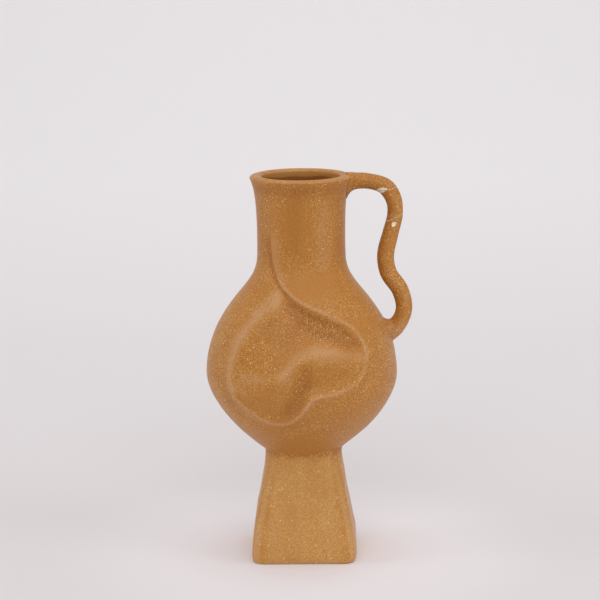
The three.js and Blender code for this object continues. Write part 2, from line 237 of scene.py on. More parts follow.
world = bpy.data.worlds.new("room")
bpy.context.scene.world = world
world.use_nodes = True
room = world.node_tree.nodes["Background"]
room.inputs["Color"].default_value = ROOM_COLOUR
room.inputs["Strength"].default_value = ROOM_GLOW
bpy.context.scene.view_settings.view_transform = "Standard"

# %% [markdown]
# The vessel is turned, so one half profile is enough: Bezier curves with their handles in real
# millimetres, which meet at heights and radii that the frame has too.

# %% Sizes of the vessel
WALL = 5.5 * MM
FOOT_HEIGHT = 87.4 * MM
FOOT_WAIST = 61.4 * MM
BOWL_SPREAD = math.radians(39)
BOWL_REACH = 18.4 * MM
BOWL_SEAT = 4 * MM
FULL_BELOW = 24.5 * MM
FULL_ABOVE = 54.2 * MM
WAIST_FULL = 30.4 * MM
NECK_STRAIGHT = 22.3 * MM
LIP_CROWN = 2.2 * MM
LIP_FLARE_START = 13 * MM
LIP_FLARE_IN = 5.4 * MM
LIP_SPREAD = 1.5 * MM
LIP_STEPS = 16
CURVE_POINTS = 160
MOUTH_RADIUS = 31.4 * MM
BELLY_RISE = 62.5 * MM
NECK_RADIUS = 34.7 * MM

belly_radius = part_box("back_body_shell")[1][0]
belly_z = FOOT_HEIGHT + BELLY_RISE
waist_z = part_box("neck_collar")[0][2]
top_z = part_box("neck_collar")[1][2]
lip_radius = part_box("neck_collar")[1][0] + LIP_SPREAD
lip_z = top_z - LIP_CROWN
print("belly radius %.1f mm, lip radius %.1f mm" % (belly_radius / MM, lip_radius / MM))


# %% Profile of the vessel
def curve(start, leave, arrive, end):
    points = interpolate_bezier(*[Vector((*p, 0)) for p in (start, leave, arrive, end)], CURVE_POINTS)
    return [Vector((p.x, p.y)) for p in points]


def spaced(points, step_at):
    """Points along a line, each as far from the last as step_at asks for its height."""
    lengths = [0.0]
    for a, b in zip(points, points[1:]):
        lengths.append(lengths[-1] + (b - a).length)
    radii = [p.x for p in points]
    heights = [p.y for p in points]
    marks = [0.0]
    while marks[-1] < lengths[-1]:
        marks.append(marks[-1] + step_at(np.interp(marks[-1], lengths, heights)))
    marks = np.array(marks) * lengths[-1] / marks[-1]
    return [Vector(p) for p in zip(np.interp(marks, lengths, radii),
                                   np.interp(marks, lengths, heights))]


def body_outside():
    start = Vector((FOOT_WAIST / 2, FOOT_HEIGHT))
    along = Vector((math.cos(BOWL_SPREAD), math.sin(BOWL_SPREAD)))
    seat = start - along * BOWL_SEAT
    bowl = curve(start, start + along * BOWL_REACH,
                 (belly_radius, belly_z - FULL_BELOW), (belly_radius, belly_z))
    shoulder = curve((belly_radius, belly_z), (belly_radius, belly_z + FULL_ABOVE),
                     (NECK_RADIUS, waist_z - WAIST_FULL), (NECK_RADIUS, waist_z))
    return [seat] + bowl + shoulder[1:]


def neck_outside():
    return curve((NECK_RADIUS, waist_z), (NECK_RADIUS, waist_z + NECK_STRAIGHT),
                 (lip_radius - LIP_FLARE_IN, lip_z - LIP_FLARE_START), (lip_radius, lip_z))


def lip_round():
    middle = (lip_radius + MOUTH_RADIUS) / 2
    half = (lip_radius - MOUTH_RADIUS) / 2
    turns = [math.pi * i / LIP_STEPS for i in range(LIP_STEPS + 1)]
    return [Vector((middle + half * math.cos(t), lip_z + LIP_CROWN * math.sin(t))) for t in turns]


def neck_bore():
    inner = NECK_RADIUS - WALL
    return curve((MOUTH_RADIUS, lip_z), (MOUTH_RADIUS, lip_z - LIP_FLARE_START),
                 (inner, waist_z + NECK_STRAIGHT), (inner, waist_z))


def inward(points, distance):
    """The same line, moved square to itself towards the inside."""
    moved = []
    for i, p in enumerate(points):
        along = (points[min(i + 1, len(points) - 1)] - points[max(i - 1, 0)]).normalized()
        moved.append(Vector((p.x - along.y * distance, p.y + along.x * distance)))
    return moved


# Rows are close where the front is pressed and at the lip, and wide apart elsewhere.
ROW_FINE = 0.95 * MM
ROW_WIDE = 2 * MM
ROW_INSIDE = 5.5 * MM
SEEN_BORE = 12 * MM
FINE_BELOW_BELLY = 33 * MM
FINE_ABOVE_BELLY = 92 * MM
FINE_BELOW_LIP = 14 * MM


def row_step(z):
    pressed = belly_z - FINE_BELOW_BELLY < z < belly_z + FINE_ABOVE_BELLY
    return ROW_FINE if pressed or z > lip_z - FINE_BELOW_LIP else ROW_WIDE


def wide_step(z):
    return ROW_FINE if z > lip_z - SEEN_BORE else ROW_INSIDE


outside = spaced(body_outside() + neck_outside()[1:], row_step)
belly_inside = inward(spaced(body_outside(), wide_step), WALL)
inside = spaced(neck_bore(), wide_step)[1:] + belly_inside[-2::-1]
profile = outside + spaced(lip_round(), row_step)[1:] + inside
print("profile: %d points" % len(profile))

# %% [markdown]
# The front wall was pressed in while the clay was soft, between two lines of the front elevation: the
# crease, which runs down the neck like a fold and round the right lobe, and the roll, broad on the
# upper left and thin round the lower lobe. Each point is across from the axis, up from the widest
# place of the belly, and the width of the turn there.

# %% Lines of the hollow
CREASE = [
    (-23.2, 141, 1.6), (-23.2, 118, 1.6), (-22.8, 102, 1.6), (-21, 91, 1.7), (-15.4, 78, 2.6),
    (-8, 70.8, 4.2), (1.3, 65, 5.5), (11.4, 60.8, 6.5), (34, 50, 6), (48, 33, 5), (51, 23.5, 4.5),
    (46.7, 8, 4), (31.7, -1, 4), (12.2, -4.7, 4), (7.4, -6.5, 4),
]
ROLL = [
    (-26.4, 141, 5), (-26.8, 116, 5), (-26.4, 97, 5.7), (-23.4, 82.5, 6.8), (-20, 73, 9),
    (-24, 64, 11), (-36.2, 52.5, 11.5), (-48, 37.2, 11), (-55.5, 19, 8.5), (-57, 0, 5.5),
    (-48, -15.2, 4), (-31, -25.4, 4), (-17, -28.4, 4), (-6.5, -24.3, 4), (0, -16.5, 4), (7.4, -6.5, 4),
]

# %% [markdown]
# Inside, the depth follows guide lines: the crest winds from the right rim to the lower left, the
# trough lies under the crease, the floor between the two, and the valley by the notch. The third
# number of each point is the depth there in millimetres.

# %% Guides of the hollow
GUIDES = {
    "crest": [(49, 21, 2.6), (30, 23, 2.2), (9, 25, 1.6), (-1.5, 22.5, 1.5), (-9, 13, 1.7),
              (-20, 5, 2.2), (-43, 4, 3)],
    "trough": [(41, 37, 4.6), (24, 44.5, 9), (7, 48.5, 11), (-6, 46.5, 10.4), (-28, 30, 7.2),
               (-40, 21, 5.6)],
    "floor": [(3, 39, 9), (-9, 33, 8.4), (-18, 21.5, 6.6), (-31, 15, 5)],
    "fold": [(-7, 60, 9.2), (-15.5, 69, 7.2), (-22.3, 83, 5.8), (-27.2, 101, 4.8), (-28.5, 142, 1.5)],
    "valley": [(1, 16, 4.4), (1.5, 3, 6.6), (-3.5, -9, 6), (-8, -16, 4.4)],
    "right lobe": [(15, 13, 3.8), (13, 4, 5.2), (24, 4, 4.4), (38, 9, 3.6)],
    "left lobe": [(-48, -4, 2.4), (-38, -13, 2.2), (-22, -19, 2.4)],
    "plateau": [(-34, -7, 2.4), (-20, -7, 2.3)],
}
GUIDE_SPACING = 2.5
GUIDE_BLEND = 3.5
# A fine bead stands on the rim. It follows the roll only below the neck, and fades out on the neck.
BEAD_HEIGHT = 0.5
BEAD_WIDTH = 1.0
BEAD_ON_ROLL_BELOW = 72
BEAD_TOP = 110
BEAD_FADE = 30
# A shallow groove runs outside the rim. It fades upwards and to the right: its end and the run.
GROOVE_DEPTH = 0.7
GROOVE_PLACE = 6.0
GROOVE_WIDTH = 3.6
GROOVE_TOP = (58, -30)
GROOVE_RIGHT = (64, -60)


def smooth_line(points, fineness):
    """Centripetal spline through the points, as rows of across, up and value."""
    p = np.array(points, float)
    p = np.vstack([2 * p[0] - p[1], p, 2 * p[-1] - p[-2]])
    rows = []
    for a, b, c, d in zip(p, p[1:], p[2:], p[3:]):
        k1 = np.linalg.norm((b - a)[:2]) ** 0.5
        k2 = k1 + np.linalg.norm((c - b)[:2]) ** 0.5
        k3 = k2 + np.linalg.norm((d - c)[:2]) ** 0.5
        for t in np.linspace(k1, k2, fineness, endpoint=False):
            ab = (k1 - t) / k1 * a + t / k1 * b
            bc = (k2 - t) / (k2 - k1) * b + (t - k1) / (k2 - k1) * c
            cd = (k3 - t) / (k3 - k2) * c + (t - k2) / (k3 - k2) * d
            abc = (k2 - t) / k2 * ab + t / k2 * bc
            bcd = (k3 - t) / (k3 - k1) * bc + (t - k1) / (k3 - k1) * cd
            rows.append((k2 - t) / (k2 - k1) * abc + (t - k1) / (k2 - k1) * bcd)
    rows.append(p[-2])
    return np.array(rows)


def evenly(line, step):
    """The same line with its points a step apart."""
    lengths = np.concatenate([[0], np.cumsum(np.hypot(*np.diff(line[:, :2], axis=0).T))])
    marks = np.linspace(0, lengths[-1], math.ceil(lengths[-1] / step) + 1)
    return np.column_stack([np.interp(marks, lengths, values) for values in line.T])


def nearest_on(line, across, up):
    """Distance from each place to the line, and the line's value there."""
    best = np.full(across.shape, 1e9)
    value = np.zeros(across.shape)
    for a, b in zip(line, line[1:]):
        run = b[:2] - a[:2]
        share = ((across - a[0]) * run[0] + (up - a[1]) * run[1]) / max(run @ run, 1e-12)
        share = np.clip(share, 0, 1)
        distance = np.hypot(across - a[0] - share * run[0], up - a[1] - share * run[1])
        nearer = distance < best
        best = np.where(nearer, distance, best)
        value = np.where(nearer, a[2] + share * (b[2] - a[2]), value)
    return best, value


def inside_of(ring, across, up):
    within = np.zeros(across.shape, bool)
    for a, b in zip(ring, np.roll(ring, -1, axis=0)):
        crosses = (a[1] > up) != (b[1] > up)
        climb = b[1] - a[1] if b[1] != a[1] else 1e-12
        within ^= crosses & (across < a[0] + (up - a[1]) * (b[0] - a[0]) / climb)
    return within


def smoothstep(t):
    t = np.clip(t, 0, 1)
    return t * t * (3 - 2 * t)


def rise(value, start, run, amount=1.0):
    """From zero at the start to the amount after the run; a negative run goes the other way."""
    return amount * smoothstep((value - start) / run)


def band(value, middle, width, amount=1.0):
    """The amount at the middle, and about a third of it one width to either side."""
    return amount * np.exp(-((value - middle) / width) ** 2)


def turn_in(distance, width):
    """Half of the way down within the width, and the rest within three times the width."""
    return 0.5 * smoothstep(distance / width) + 0.5 * smoothstep(distance / (3 * width))


crease_line = smooth_line(CREASE, 10)
roll_line = smooth_line(ROLL, 10)
hollow_ring = np.vstack([crease_line, roll_line[::-1]])
guide_points = np.vstack([evenly(smooth_line(points, 24), GUIDE_SPACING) for points in GUIDES.values()])


def hollow_depth(across, up):
    """How far the wall is pressed in, in millimetres, at places of the front elevation."""
    crease, crease_width = nearest_on(crease_line, across, up)
    roll, roll_width = nearest_on(roll_line, across, up)
    within = inside_of(hollow_ring, across, up)
    total = np.zeros(across.shape)
    weights = np.zeros(across.shape)
    for x, z, depth in guide_points:
        weight = ((across - x) ** 2 + (up - z) ** 2 + GUIDE_BLEND ** 2) ** -2.0
        total += weight * depth
        weights += weight
    pressed = total / weights * turn_in(crease, crease_width) * turn_in(roll, roll_width)
    rim = np.minimum(crease, roll)
    bead = band(np.where(up < BEAD_ON_ROLL_BELOW, rim, crease), 0, BEAD_WIDTH)
    bead *= np.clip((BEAD_TOP - up) / BEAD_FADE, 0, 1)
    groove = band(rim, GROOVE_PLACE, GROOVE_WIDTH) * rise(up, *GROOVE_TOP) * rise(across, *GROOVE_RIGHT)
    return np.where(within, pressed, GROOVE_DEPTH * groove) - BEAD_HEIGHT * bead


# %% [markdown]
# The profile is spun in three stretches, finely where the hollow is and coarsely elsewhere, and then
# the front is pressed in.

# %% Turn the vessel and press the front
# From and to, in degrees from the front towards the handle, and the steps between.
SPIN_STRETCHES = ((-60, 60, 200), (60, 120, 56), (120, 300, 44))


def spun_vessel():
    bm = bmesh.new()
    for start, end, steps in SPIN_STRETCHES:
        a = math.radians(start)
        ring = [bm.verts.new((p.x * math.sin(a), -p.x * math.cos(a), p.y)) for p in profile]
        edges = [bm.edges.new(pair) for pair in zip(ring, ring[1:] + ring[:1])]
        bmesh.ops.spin(bm, geom=ring + edges, cent=(0, 0, 0), axis=(0, 0, 1),
                       angle=math.radians(end) - a, steps=steps)
    bmesh.ops.remove_doubles(bm, verts=bm.verts, dist=0.01 * MM)
    bmesh.ops.recalc_face_normals(bm, faces=bm.faces)
    return bm


def on_skin(vertices):
    """Places and outward normals, with the inner skin carried out to the outer one."""
    place = np.array([v.co for v in vertices])
    normal = np.array([v.normal for v in vertices])
    inner = (place[:, 0] * normal[:, 0] + place[:, 1] * normal[:, 1]) < 0
    outward = np.where(inner[:, None], -normal, normal)
    return place + np.where(inner[:, None], outward * WALL, 0), outward


# Where the hollow and its groove lie, in millimetres from the axis and the widest place.
PRESSED_SIDE = 72
PRESSED_BOTTOM = -45
PRESSED_TOP = 143


def press_front(bm):
    bm.normal_update()
    reached = [v for v in bm.verts if v.co.y < 0 and v.co.z < lip_z]
    skin, outward = on_skin(reached)
    across, up = skin[:, 0] / MM, (skin[:, 2] - belly_z) / MM
    near = (abs(across) < PRESSED_SIDE) & (up > PRESSED_BOTTOM) & (up < PRESSED_TOP)
    depth = np.zeros(len(reached))
    depth[near] = hollow_depth(across[near], up[near])
    for v, out, d in zip(reached, outward, depth):
        v.co -= Vector(out) * float(d) * MM
    print("deepest press %.1f mm" % depth.max())


# Nobody turns a wall quite true: the height over the widest place, and how far the left and the right
# side stand out there, all in millimetres.
UNEVEN = [
    (-62, 0.4, 0), (-57, 0.8, -0.4), (-43, 0.9, 0.9), (-33, 0.6, 0.8), (-20, 0.4, 0.1),
    (3, 1.3, 0), (12, 1.2, -0.2), (30, 0.8, 0), (62, 1.3, 0.9), (81, 0.1, 0.2), (96, 0.6, 0.7),
    (109, 0.3, 0.4), (125, 0.1, 0.1), (140, -0.2, -0.4), (150, -0.3, -0.5), (160, 0, 0),
]


def lean_out(bm, uneven, level, full_from=None):
    """Moves the left and the right side out by the table, whose heights count from the level.

    A round wall moves by how far it has turned sideways; a flat one, for which full_from is given,
    moves fully from that far off the axis.
    """
    ups, lefts, rights = np.array(uneven).T
    for v in bm.verts:
        up = (v.co.z - level) / MM
        side = v.co.x / (full_from or max(math.hypot(v.co.x, v.co.y), MM))
        side = max(-1.0, min(1.0, side))
        v.co.x += float(np.interp(up, ups, rights if side > 0 else lefts)) * side * abs(side) * MM


vessel_mesh = spun_vessel()
press_front(vessel_mesh)
lean_out(vessel_mesh, UNEVEN, belly_z)
vessel = finish_mesh(vessel_mesh, "vessel_wall")

# %% [markdown]
# Glaze runs thin over every proud edge, where the pale clay shows through, and pools in the hollows, and
# the same number also paints highlight and shade.
# Each piece carries that as a number on its points: above zero on edges and painted highlights, below
# zero in hollows and painted shade.
# For the vessel it is the pressed relief against blurred copies of itself, partly thin and pooled glaze
# and partly painted highlight on edges and painted shade in hollows, and lines of painted highlight and
# painted shade on top.

# %% Where the glaze is thin, and painted highlight and shade
MAP_STEP = 0.75
MAP_SIDE = 76
MAP_TOP = 150
# Each blurred copy of the relief: its blur in millimetres, and how much it counts.
RELIEF_BLURS = ((1.5, 0.4), (8.0, 0.12))
# Lines of painted highlight (above zero) and painted shade (below zero), and on the rims, the crease,
# the crest and the roll partly glaze that broke pale: the points on the front elevation in millimetres,
# the width on either side, and how much.
LIGHT_AND_SHADE_LINES = {
    "head of the roll": ([(-16.5, 72), (-18.5, 64)], 5.2, 0.45),
    "top of the roll": ([(-21.5, 69), (-27.3, 63.3), (-34.7, 56.3)], 3.6, 0.42),
    "roll": ([(-34.7, 56.3), (-42.1, 47.2), (-49.6, 37.7), (-54.5, 27.2), (-57.3, 17.6), (-58.3, 7),
              (-56, -3)], 3.3, 0.55),
    "lower rim": ([(-54.4, -8.4), (-48.1, -12.9), (-40.8, -18.9), (-32.5, -24.6), (-24.1, -28.1),
                   (-15.7, -28), (-8.4, -25), (-2.1, -19.3), (3.2, -12.1), (7, -6)], 1.1, 0.62),
    "right rim": ([(49.6, 22.2), (47.9, 14.5), (44.1, 8), (37.7, 3.3), (29.3, -0.5), (19.8, -2.2),
                   (11.5, -3.3), (7, -6)], 1.2, 0.3),
    "crease": ([(-19.3, 82.7), (-16.7, 79.1), (-12.5, 74.6), (-7.3, 70.1), (-2.2, 66.8), (4.1, 63.5),
                (11.3, 60.1), (19.6, 56.4), (28.9, 51.4), (39.4, 46), (45.6, 38.4), (49.2, 30.1),
                (49.6, 22.2)], 1.1, 0.6),
    "crest": ([(45.3, 23.6), (38.5, 26), (24.3, 28.6), (14, 30.9), (5.7, 32.2), (-1.5, 30.6),
               (-8.3, 24.4), (-13.2, 17.2), (-15.8, 11.8)], 4.4, 0.46),
    "foot of the crest": ([(-49, 0), (-45, 7), (-35, 9)], 6.5, 0.38),
    "trough": ([(-6, 61), (4, 54.5), (14, 50), (24, 44.5), (32, 39), (38, 33)], 7.5, -0.65),
    "floor": ([(-24, 47), (-18, 41), (-9, 38)], 9.0, -0.32),
    "valley": ([(1.4, 18), (2.4, 12), (3.3, 4.4), (-3, -6.3), (-9.3, -15.7)], 5.8, -0.32),
    "neck edge": ([(-22.6, 112), (-21.2, 104.3), (-20.4, 94.9), (-18, 87.4), (-15, 82)], 3.6, 0.36),
    "neck side": ([(-31, 142), (-30.5, 120), (-28.8, 98)], 4.5, -0.34),
    "neck fold": ([(-26, 112), (-24.9, 100), (-23.5, 90), (-19.8, 80.8), (-15.3, 74.4), (-11.5, 70.2)],
                  1.7, -0.85),
    "neck centre": ([(-5, 142), (-5, 106)], 7.0, -0.3),
    "neck sheen": ([(16, 136), (16, 98)], 8.0, 0.28),
    "neck right": ([(31, 142), (30.5, 110), (34, 92)], 4.0, -0.35),
    "left groove": ([(-58, 40), (-63, 24), (-64.5, 8), (-61.5, -6), (-54, -17)], 3.4, -0.36),
    "right groove": ([(51.5, 14), (47.5, 4), (41, -9)], 2.0, -0.3),
}
# Along these lines of painted highlight there are fewer speckles too.
HIGHLIGHT_LINES = ("head of the roll", "top of the roll", "roll", "crest", "neck edge")


def blurred(field, reach):
    radius = int(3 * reach / MAP_STEP)
    kernel = np.exp(-0.5 * (np.arange(-radius, radius + 1) * MAP_STEP / reach) ** 2)
    kernel /= kernel.sum()
    padded = np.pad(field, radius, mode="edge")
    rows = np.apply_along_axis(np.convolve, 1, padded, kernel, mode="valid")
    return np.apply_along_axis(np.convolve, 0, rows, kernel, mode="valid")


map_across = np.arange(-MAP_SIDE, MAP_SIDE + MAP_STEP / 2, MAP_STEP)
map_up = np.arange(PRESSED_BOTTOM, MAP_TOP, MAP_STEP)
map_places = np.meshgrid(map_across, map_up)
relief = hollow_depth(*map_places)
edge_map = sum(amount * (blurred(relief, reach) - relief) for reach, amount in RELIEF_BLURS)
highlight_map = np.zeros(relief.shape)
for name, (points, width, amount) in LIGHT_AND_SHADE_LINES.items():
    path = smooth_line([(x, z, 0) for x, z in points], 8)
    away = nearest_on(path, *map_places)[0]
    edge_map += band(away, 0, width, amount)
    if name in HIGHLIGHT_LINES:
        highlight_map = np.maximum(highlight_map, band(away, 0, width))


def sample(field, across, up):
    """The field's value at each place, blended from the four map points round it."""
    i = np.clip((across - map_across[0]) / MAP_STEP, 0, len(map_across) - 1.001)
    j = np.clip((up - map_up[0]) / MAP_STEP, 0, len(map_up) - 1.001)
    i0, j0 = i.astype(int), j.astype(int)
    fi, fj = i - i0, j - j0
    low = field[j0, i0] * (1 - fi) + field[j0, i0 + 1] * fi
    high = field[j0 + 1, i0] * (1 - fi) + field[j0 + 1, i0 + 1] * fi
    return low * (1 - fj) + high * fj


def places(piece):
    """The points of a piece, as rows of x, y and z in metres."""
    co = np.empty(len(piece.data.vertices) * 3)
    piece.data.vertices.foreach_get("co", co)
    return co.reshape(-1, 3)


def mark(piece, name, values):
    """Gives each point of a piece its number, for the glaze to read."""
    layer = piece.data.attributes.new(name, "FLOAT", "POINT")
    layer.data.foreach_set("value", np.clip(values, -2, 1).astype(np.float32))


# Where the map of the relief ends at the sides, and its fade there.
RELIEF_SIDE = (64, -4)
# The two edges of the lip, paler partly as thin glaze and partly as painted highlight: radius and width
# across it, height and width up it, and how pale.
LIP_EDGES = (
    (lip_radius, 1.5 * MM, lip_z + 1.5 * MM, 1.6 * MM, 0.5),
    (MOUTH_RADIUS, 1.2 * MM, lip_z + 2.5 * MM, 1.6 * MM, 0.4),
)
# Inside the mouth the bore is painted a little lighter above a wavy line, as painted light, and dark
# below it, as painted shade.
BORE_MARGIN = 0.3 * MM
BORE_BELOW_WAIST = 30 * MM
BORE_SHADE_LINE = 5 * MM
BORE_SHADE_FADE = 1.6 * MM
BORE_PAINTED_LIGHT = 0.25
BORE_SHADE_AMOUNT = 2.25
# Painted shade round the root of the arm and outside in the flare of the lip: middle, width, amount.
ARM_ROOT_DOWN = 22 * MM
ARM_ROOT_SHADE = (0, 9 * MM, 0.8)
FLARE_SHADE = (top_z - 9 * MM, 5 * MM, 0.55)
FLARE_OUTSIDE = MOUTH_RADIUS + 1.5 * MM


def in_bore(radius, z):
    return (radius < MOUTH_RADIUS + BORE_MARGIN) & (z > waist_z - BORE_BELOW_WAIST)


def vessel_edges():
    x, y, z = places(vessel).T
    radius = np.hypot(x, y)
    front = (y < 0) * rise(abs(x / MM), *RELIEF_SIDE)
    values = sample(edge_map, x / MM, (z - belly_z) / MM) * front * (z < lip_z)
    for at_radius, wide, at_z, high, amount in LIP_EDGES:
        values += band(radius, at_radius, wide) * band(z, at_z, high, amount)
    bore = in_bore(radius, z)
    azimuth = np.arctan2(x, -y)
    waves = 0.5 * np.sin(3 * azimuth + 1) + 0.3 * np.sin(8 * azimuth)
    in_bore_shade = rise(z, top_z - BORE_SHADE_LINE + waves * MM, -BORE_SHADE_FADE)
    values += bore * (BORE_PAINTED_LIGHT - BORE_SHADE_AMOUNT * in_bore_shade)
    by_arm = (z > top_z - ARM_ROOT_DOWN) * (x > 0)
    values -= by_arm * band(np.hypot(x - lip_radius, y), *ARM_ROOT_SHADE)
    values -= (radius > FLARE_OUTSIDE) * band(z, *FLARE_SHADE)
    return values


mark(vessel, "edge", vessel_edges())

# %% [markdown]
# The speckles are dense at the flanks, sparse down the middle of the neck and the shoulder, where
# the glaze lay thicker, and few inside the mouth. The number on each point is how calm it is.

# %% Where the speckles are sparse
# Centre and half sizes of each calm patch on the front elevation, in millimetres, and how calm it is.
CALM_PATCHES = [((-5, 124), (11, 34), 0.75), ((8, 76), (20, 11), 0.85), ((0, -52), (34, 12), 0.5),
                ((22, 11), (20, 9), 0.3), ((-24, -10), (20, 12), 0.6)]
# The flanks are livelier than the rest, but only below the neck: start, run and amount.
FLANKS = (50, 12, 0.5)
FLANKS_TOP = 70
HIGHLIGHT_CALM = 0.5
BORE_CALM = 0.9


def vessel_calm():
    x, y, z = places(vessel).T
    across, up = x / MM, (z - belly_z) / MM
    calm = HIGHLIGHT_CALM * sample(highlight_map, across, up) * (y < 0)
    for (at_x, at_up), (wide, high), amount in CALM_PATCHES:
        reach = ((across - at_x) / wide) ** 2 + ((up - at_up) / high) ** 2
        calm = np.maximum(calm, amount * np.exp(-reach ** 1.5) * (y < 0))
    calm -= rise(abs(across), *FLANKS) * (up < FLANKS_TOP)
    return np.where(in_bore(np.hypot(x, y), z), BORE_CALM, calm)


mark(vessel, "calm", vessel_calm())

# %% [markdown]
# Stoneware glaze: a warm ochre that drifts in tone, fine pale speckles, and a satin surface.

# %% Glaze
OCHRE = (0.475, 0.188, 0.024, 1)
# The pooled ochre is also used as painted shade, and the thin ochre as painted highlight.
OCHRE_POOLED_AND_SHADE = (0.375, 0.13, 0.011, 1)
OCHRE_THIN_AND_HIGHLIGHT = (0.555, 0.29, 0.12, 1)
# The foot ochre is partly paler glaze and partly painted reflection of the bright floor.
OCHRE_FOOT_AND_SHEEN = (0.60, 0.315, 0.088, 1)
# Painted shade: the colour of the deep bore.
BORE_PAINTED_SHADE = (0.25, 0.083, 0.009, 1)
SPECKLE = (0.73, 0.45, 0.15, 1)
SPECKLE_LARGE = (0.80, 0.56, 0.28, 1)
SPECK_DARK = (0.34, 0.115, 0.011, 1)
BARE_CLAY = (0.86, 0.78, 0.63, 1)
# Scales of the textures, per metre.
DRIFT_SCALE = 30
MOTTLE_SCALE = 60
SPARSE_SCALE = 420
DARK_SCALE = 620
PALE_SCALE = 760
GRAIN_SCALE = 900
# Heights between which the glaze of the belly gives way to that of the pedestal.
FOOT_GLAZE = (0.094, 0.082)


def glaze_material():
    made, tree, where = new_material("speckled_ochre_glaze")
    edge, calm, bare = [add_node(tree, "ShaderNodeAttribute", attribute_name=name).outputs["Fac"]
                        for name in ("edge", "calm", "bare")]
    drift = noise(tree, where, DRIFT_SCALE, 3)
    mottle = noise(tree, where, MOTTLE_SCALE, 2)
    height = add_node(tree, "ShaderNodeSeparateXYZ", {"Vector": where}).outputs["Z"]

    # The ground: painted shade in the bore; deep where the glaze pooled and where shade is painted; pale
    # where the glaze is thin and where highlights are painted.
    frayed = add_node(tree, "ShaderNodeMath", {
        0: drift, 1: 0.5, 2: -0.25}, operation="MULTIPLY_ADD").outputs[0]
    thin_and_lit_place = add_node(tree, "ShaderNodeMath", {0: edge, 1: frayed}, operation="ADD").outputs[0]
    thin_and_lit = times(tree, ramp(tree, thin_and_lit_place, 0.05, 0.75), 0.9)
    pooled_and_shaded = mix(tree, ramp(tree, edge, 0.0, -0.7), OCHRE, OCHRE_POOLED_AND_SHADE)
    base = mix(tree, ramp(tree, edge, -1.1, -1.6), pooled_and_shaded, BORE_PAINTED_SHADE)
    foot_pale_and_sheen = mix(tree, ramp(tree, edge, 0.56, 0.8), OCHRE_FOOT_AND_SHEEN, OCHRE_THIN_AND_HIGHLIGHT)
    thin_and_lit_colour = mix(tree, ramp(tree, height, *FOOT_GLAZE), OCHRE_THIN_AND_HIGHLIGHT, foot_pale_and_sheen)
    broken_and_lit = mix(tree, thin_and_lit, base, thin_and_lit_colour)

    # The speckles: dark pits, fine pale dots, and a few larger pale ones.
    lively = ramp(tree, calm, -0.5, 1.0, 1.5, 0.0)
    dark_dots = ramp(tree, cells(tree, where, DARK_SCALE).outputs["Distance"], 0.5, 0.2)
    pitting = times(tree, lively, ramp(tree, height, *FOOT_GLAZE, 0.65, 0.25))
    pitted = mix(tree, times(tree, dark_dots, pitting), broken_and_lit, SPECK_DARK)
    pale_dots = ramp(tree, cells(tree, where, PALE_SCALE).outputs["Distance"], 0.5, 0.15)
    density = times(tree, ramp(tree, mottle, 0.35, 0.65, 0.3, 0.7), lively)
    grained = mix(tree, times(tree, pale_dots, density), pitted, SPECKLE)
    sparse = cells(tree, where, SPARSE_SCALE)
    number = add_node(tree, "ShaderNodeSeparateColor", {"Color": sparse.outputs["Color"]}).outputs["Red"]
    chosen = ramp(tree, number, 0.86, 0.88)
    few_dots = times(tree, ramp(tree, sparse.outputs["Distance"], 0.3, 0.12), chosen)
    few_share = times(tree, few_dots, times(tree, lively, 0.85))
    glazed = mix(tree, few_share, grained, SPECKLE_LARGE)
    colour = mix(tree, ramp(tree, bare, 0.45, 0.6), glazed, BARE_CLAY)

    grain = noise(tree, where, GRAIN_SCALE, 3)
    bump = add_node(tree, "ShaderNodeBump", {"Height": grain, "Strength": 0.25, "Distance": 0.0002})
    end_with_surface(tree, {
        "Base Color": colour, "Roughness": ramp(tree, mottle, 0.3, 0.7, 0.46, 0.54),
        "Specular IOR Level": 0.42, "Normal": bump.outputs["Normal"],
        "Sheen Weight": 0.1, "Sheen Roughness": 0.35, "Sheen Tint": (0.85, 0.92, 1.0, 1)})
    return made


glaze = glaze_material()
vessel.data.materials.append(glaze)
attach(vessel, "root")
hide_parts("front_body_shell", "back_body_shell", "neck_collar")

# %% [markdown]
# The pedestal and the handle are skins: rows of points that run round and close on themselves.
# A flat grid has just that order, so each skin is a grid whose points are carried to their places,
# and merging the doubles closes the seam and the ends.

# %% A skin from rows of points
def wrapped_skin(points):
    """A closed skin through points given row by row and column by column."""
    rows, columns = points.shape[:2]
    bm = bmesh.new()
    bmesh.ops.create_grid(bm, x_segments=columns, y_segments=rows - 1, size=1)
    for v in bm.verts:
        column = round((v.co.x + 1) / 2 * columns) % columns
        row = round((v.co.y + 1) / 2 * (rows - 1))
        v.co = points[row, column]
    bmesh.ops.remove_doubles(bm, verts=bm.verts, dist=0.001 * MM)
    bmesh.ops.recalc_face_normals(bm, faces=bm.faces)
    return bm


# %% [markdown]
# The pedestal is a hollow flared tube of square plan, built from slabs of clay and softened with a
# wet sponge, so its upright edges are crisp near the base and melt away towards the belly.
# A box with a bevel would keep one radius all the way, so the plan is drawn row by row instead.

